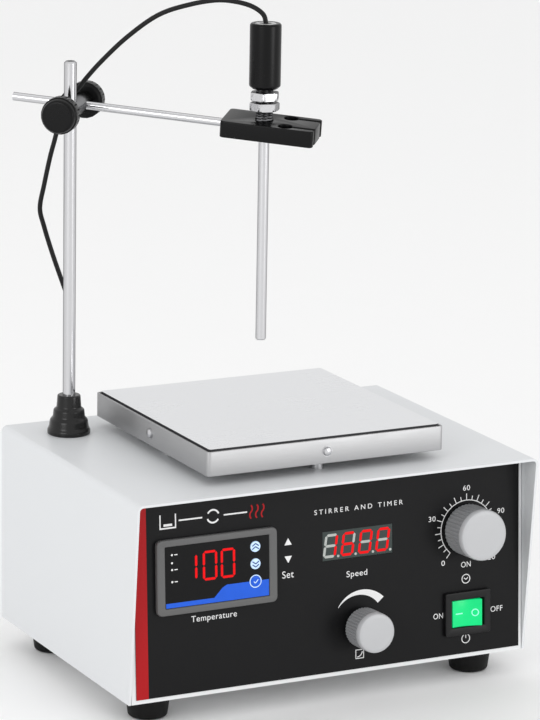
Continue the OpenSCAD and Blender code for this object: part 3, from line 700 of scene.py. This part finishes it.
def add_feet():
    low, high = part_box("feet")
    inset = 10.9 * MM
    spots = [(x, y) for x in (low.x + inset, high.x - inset) for y in (low.y + inset, high.y - inset)]
    parts = [(rounded_lathe([(4.5, 5), (4.5, 0), (8.2, 0), (9.3, 0.8), (10.9, 13), (0, 13)], 0.9, 64),
              shifted(x / MM, y / MM)) for x, y in spots]
    piece("rubber_feet", merged(parts), Matrix.Scale(MM, 4), "rubber", stands_for=["feet"])


def dial_knob(diameter, base, ridges=40, depth=0.5):
    """Knob with fine rounded ridges that end below a plain disc. Its ridged side takes the second look, a
    darker copy of the knob's plastic that paints shade on it.
    """
    r = diameter / 2
    top, ridge_top = 17.5, 14.4

    def shape(radius, height, angle):
        if radius < r - 0.3 or height > ridge_top:
            return radius
        fade = min(1, (ridge_top - height) / 0.6)
        return radius - fade * depth * (1 - abs(math.sin(ridges * angle / 2)) ** 0.7)
    rows = 12
    profile = [(3.2, base + 3), (r - 2.4, base + 3), (r - 2.4, base), (r - 0.35, base), (r, base + 0.3)]
    profile += [(r, base + 0.3 + (ridge_top - base - 0.3) * k / rows) for k in range(1, rows + 1)]
    profile += [(r, 15.3), (r - 0.1, 16.4), (r - 0.5, 17.1), (r - 1.3, 17.42), (r - 2.4, top), (0, top)]
    built = lathe(profile, ridges * 8, shape)
    for face in built.faces:
        # Faces below the disc take the darker copy: painted shade on the ridged side.
        face.material_index = int(face.calc_center_median().z < ridge_top)
    return built


def add_knobs():
    piece("speed_dial_knob", dial_knob(19.2, 3.4), on_panel(*SPEED_AT), "knob", "speed_dial",
          ["speed_knob"], second="knob_ridges")
    piece("timer_dial_knob", dial_knob(24.6, 1), on_panel(*TIMER_AT), "knob", "timer_dial",
          ["timer_knob"], second="knob_ridges")


# ------------------------------------------------------------------ controller, displays and switch

SEGMENTS = {"0": "abcdef", "1": "bc", "6": "acdefg"}


def segment_bars(width, height, thick, gap, slant=0.0):
    """Seven hexagonal bars of a digit, centred on the origin."""
    w, h, t = width / 2 - thick / 2, height / 2 - thick / 2, thick / 2

    def lying(y):
        x = w - gap
        return [(-x, y), (-x + t, y + t), (x - t, y + t), (x, y), (x - t, y - t), (-x + t, y - t)]

    def standing(x, y0, y1):
        y0, y1 = y0 + gap, y1 - gap
        return [(x, y0), (x + t, y0 + t), (x + t, y1 - t), (x, y1), (x - t, y1 - t), (x - t, y0 + t)]
    bars = {"a": lying(h), "g": lying(0), "d": lying(-h), "b": standing(w, 0, h), "c": standing(w, -h, 0),
            "e": standing(-w, -h, 0), "f": standing(-w, 0, h)}
    return {k: [(x + slant * y, y) for x, y in bar] for k, bar in bars.items()}


def key_cap():
    return rounded_lathe([(0, -0.2), (3, -0.2), (3, 1.1), (2.5, 1.1), (2.5, 3), (0, 3)], 0.12, 48)


def add_controller():
    outer, shell, bore = rectangle(61.6, 35.6), rectangle(57, 31), rectangle(54, 28)
    rim = extruded([fillet(outer, 3), fillet(rectangle(53.4, 29.1), 0.4)], FILM, 3, 0.5)
    walls = extruded([shell, bore], -56, 1.2)
    back = extruded([bore], -56, -54.5)
    piece("controller_bezel", merged([(rim, Matrix()), (walls, Matrix()), (back, Matrix())]),
          on_panel(*CONTROLLER_AT), "bezel", stands_for=["controller_case"])
    face = 2.6
    swoosh = [(-86.5, 44.1), (-33.7, 44.1), (-33.7, 51.8)]
    swoosh += arc(3.15, 3.6, -183.6, 24, (KEY_X, SET_V))     # cut round the set key
    swoosh += [(-55.3, 51.8), (-57.7, 50.6), (-61.9, 46.3), (-86.5, 46.3)]
    printed("window_swoosh", [[swoosh]], 0, 0, "blue", face)
    marks = [[circle(0.5, (-83.2, v), 16)] for v in (69, 65.2, 62, 56.3)]
    marks += [[stroke((-82, v), (-80.4, v), 0.45)] for v in (69, 62, 56.3)]
    printed("window_marks", marks, 0, 0, "ink_white", face)
    bars = segment_bars(7.4, 14, 1.15, 0.16)
    lit = []
    for x in (-63.9, -54.7):
        lit += [[[(px + x, py + 62) for px, py in bars[k]]] for k in SEGMENTS["0"]]
    thin = segment_bars(1.2, 12.6, 1.15, 0.16)
    lit += [[[(px - 71, py + 62.1) for px, py in thin[k]]] for k in SEGMENTS["1"]]
    printed("temperature_digits", lit, 0, 0, "digit", face)

    for name, v, up in (("key_up", 68.1, 1), ("key_down", 59.9, -1)):
        body = name[4:] + "_key"
        piece(name + "_button", key_cap(), on_panel(KEY_X, v), "pale", body, [name])
        chevrons = []
        for y in (0.3, -1.2):
            tip = (0, (y + 1.2) * up)
            chevrons += [[stroke((s * 1.7, y * up), tip, 0.55)] for s in (-1, 1)]
        printed(name + "_chevrons", chevrons, KEY_X, v, "navy", 3, body)
    piece("key_set_button", key_cap(), on_panel(KEY_X, SET_V), "blue", "set_key", ["key_set"])
    printed("key_set_ring", [[circle(3.1), circle(2.62)]], KEY_X, SET_V, "pale", face)
    tick = [[stroke((-1.1, 0), (-0.3, -0.8), 0.4)], [stroke((-0.3, -0.8), (1.2, 0.8), 0.4)]]
    printed("key_set_mark", tick, KEY_X, SET_V, "pale", 3, "set_key")


def add_speed_display():
    face = FILM - 0.2
    on, off = [], []
    bars = segment_bars(6.9, 11.4, 1.25, 0.14, math.tan(math.radians(8)))
    for i, digit in enumerate("1600"):
        x = 14.35 + (i - 1.5) * 9.25 - 0.5
        for key, bar in bars.items():
            lit = key in SEGMENTS[digit]
            (on if lit else off).append([[(px + x, py + 63.1) for px, py in bar]])
        off.append([circle(0.65, (x + 4, 57.8), 16)])
    printed("speed_digits", on, 0, 0, "digit", face)
    printed("speed_segments_unlit", off, 0, 0, "unlit", face)


def add_switch():
    """Frame with its body and tabs, and the rocker, whose face is a shallow valley."""
    frame_ring = extruded([fillet(rectangle(24.6, 21.3), 1), fillet(rectangle(17.6, 13.4), 0.3)],
                          FILM, 2.6, 0.45)
    walls = extruded([rectangle(21.8, 18.6), rectangle(17.6, 13.4)], -12, 1)
    base = extruded([rectangle(21.8, 18.6)], -20, -12)
    tabs = [(extruded([rectangle(0.8, 6.3, x)], -28, -20), Matrix()) for x in (-6, 6)]
    piece("switch_frame", merged([(frame_ring, Matrix()), (walls, Matrix()), (base, Matrix())] + tabs),
          on_panel(*SWITCH_AT), "black", stands_for=["switch_housing"])
    half_w, half_h, tilt = 7.6, 6.5, 8
    valley_y, rise = 5.1, 1.3

    def face_y(x):
        return valley_y + rise * (x / half_w) ** 2

    valley = [(x, face_y(x)) for x in (half_w * k / 8 for k in range(-8, 9))]
    section = [(-half_w, 2)] + valley + [(half_w, 2), (3.5, -4.5), (-3.5, -4.5)]
    rocker = extruded([fillet(section, 0.4, steps=3)], -half_h, half_h, 0.3)
    pin = lathe([(0, -8.6), (1, -8.6), (1, 8.6), (0, 8.6)], 32)
    pivot = on_panel(*SWITCH_AT) @ shifted(0, 0, -3) @ turned(90, "X")
    piece("rocker", merged([(rocker, turned(tilt, "Z")), (pin, Matrix())]), pivot, "green", "rocker",
          ["switch_rocker"])
    for name, group, x in (("rocker_on_mark", [[stroke((-1.9, 0), (1.9, 0), 0.55)]], -3.9),
                           ("rocker_off_mark", [[circle(1.85), circle(1.35)]], 4.3)):
        slope = math.degrees(math.atan(2 * rise * x / half_w ** 2))
        at = pivot @ turned(tilt, "Z") @ shifted(x, face_y(x)) @ turned(slope, "Z") @ turned(-90, "X")
        parts = [(extruded(outline, 0.02, 0.1), Matrix()) for outline in group]
        piece(name, merged(parts), at, "mint", "rocker")


# ------------------------------------------------------------------ prints on the panel


def polar(radius, degrees):
    angle = math.radians(degrees)
    return Vector((radius * math.cos(angle), radius * math.sin(angle)))


def dial_angle(minutes):
    """Where the timer's scale has that many minutes, in degrees."""
    return 230 - 280 * minutes / 120


def add_words():
    printed("red_stripe", [[rectangle(6.2, 92, -98.1, 48)]], 0, 0, "ink_red")
    written("word_temperature", "Temperature", -61.1, 37, 2.9, 23.4)
    written("word_speed", "Speed", 13.75, 48.5, 2.9, 11)
    written("word_set", "Set", -22.6, 52.2, 3.4, 6)
    written("heading", "STIRRER AND TIMER", 15, 80, 2.3, 47, spacing=1.5)
    printed("arrow_up", [[[(-1.9, -1.6), (1.9, -1.6), (0, 1.7)]]], -22.4, 67.8)
    printed("arrow_down", [[[(-1.9, 1.6), (0, -1.7), (1.9, 1.6)]]], -22.4, 59.3)


def add_speed_print():
    """Crescent that grows with the speed, and the icon under the knob."""
    steps = 40
    growing = [(144 - 104 * k / steps, 13.9 - 1.1 * k / steps, 14.1 + 2.8 * k / steps)
               for k in range(steps + 1)]
    crescent = [tuple(polar(outer, angle)) for angle, _, outer in growing]
    crescent += [tuple(polar(inner, angle)) for angle, inner, _ in reversed(growing)]
    printed("speed_crescent", [[crescent]], 15, 24.5)
    printed("speed_icon", [[rectangle(4.5, 4.5), rectangle(3.8, 3.8)],
                           [band(2.9, 0.4, -88, -8, (-1.5, 1.5))]], 15, 9.1)


def add_timer_print():
    scale_r, number_r = 14, 20
    marks = [[band(scale_r, 0.4, dial_angle(0), dial_angle(120), steps=96)]]
    for minute in range(0, 125, 5):
        end_r = 17.2 if minute % 10 == 0 else 16.1
        marks.append([stroke(polar(scale_r, dial_angle(minute)), polar(end_r, dial_angle(minute)), 0.4)])
    printed("timer_scale", marks, *TIMER_AT)
    for minute in range(0, 150, 30):
        x, v = Vector(TIMER_AT) + polar(number_r, dial_angle(minute))
        written(f"timer_{minute}", str(minute), x, v, 2.5, 1.9 * len(str(minute)))
    written("timer_on", "ON", 72.7, 45.7, 2.7, 5.2)
    printed("timer_icon", [[circle(2.35), circle(1.95)], [stroke((-1.1, 0.55), (0, -0.35), 0.4)],
                           [stroke((0, -0.35), (1.1, 0.55), 0.4)]], 72.7, 38.6)


def add_switch_print():
    written("power_on", "ON", 57.5, 22.1, 2.7, 5.2)
    written("power_off", "OFF", 89.6, 21.9, 2.7, 6.6)
    printed("power_icon", [[band(2.15, 0.4, 120, 420)], [stroke((0, 0.2), (0, 2.6), 0.42)]], 72.6, 9.2)


def add_pictogram():
    """A beaker, a swirl and heat marks in place of lettering."""
    white, red = [], []
    beaker = [(-4.2, 3.4), (-3.6, 3.4), (-3.6, -2.7), (3.6, -2.7), (3.6, 3.4), (4.2, 3.4), (4.2, -3.4),
              (-4.2, -3.4)]
    white.append([[(x - 23, y) for x, y in beaker]])
    white.append([[(x - 23, y) for x, y in rectangle(4.4, 1.1, 0, -1.6)]])
    for turn in (20, 200):
        white.append([band(3, 0.8, turn, turn + 130)])
    for x in (20, 23, 26):
        red.append([[(x + dx, y) for dx, y in band(2.2, 0.7, -45, 45, (-2, 1.4))]])
        red.append([[(x + dx, y) for dx, y in band(2.2, 0.7, 135, 225, (1.1, -1.7))]])
    white.append([rectangle(12, 0.7, -11.5, 0)])
    white.append([rectangle(12, 0.7, 11.5, 0)])
    printed("pictogram", white, -61, 84.3)
    printed("pictogram_heat", red, -61, 84.3, "ink_red")


FINISH["floor"] = surface("floor", colour(250, 250, 250), 0.6, specular=0.2, grain=30, bump=0.02,
                          mottle=0.004)
add_camera()
add_studio()
dress_cad_nodes()
add_cable()
add_heater()
add_stand()
add_probe()
add_feet()
add_knobs()
add_controller()
add_speed_display()
add_switch()
add_words()
add_speed_print()
add_timer_print()
add_switch_print()
add_pictogram()
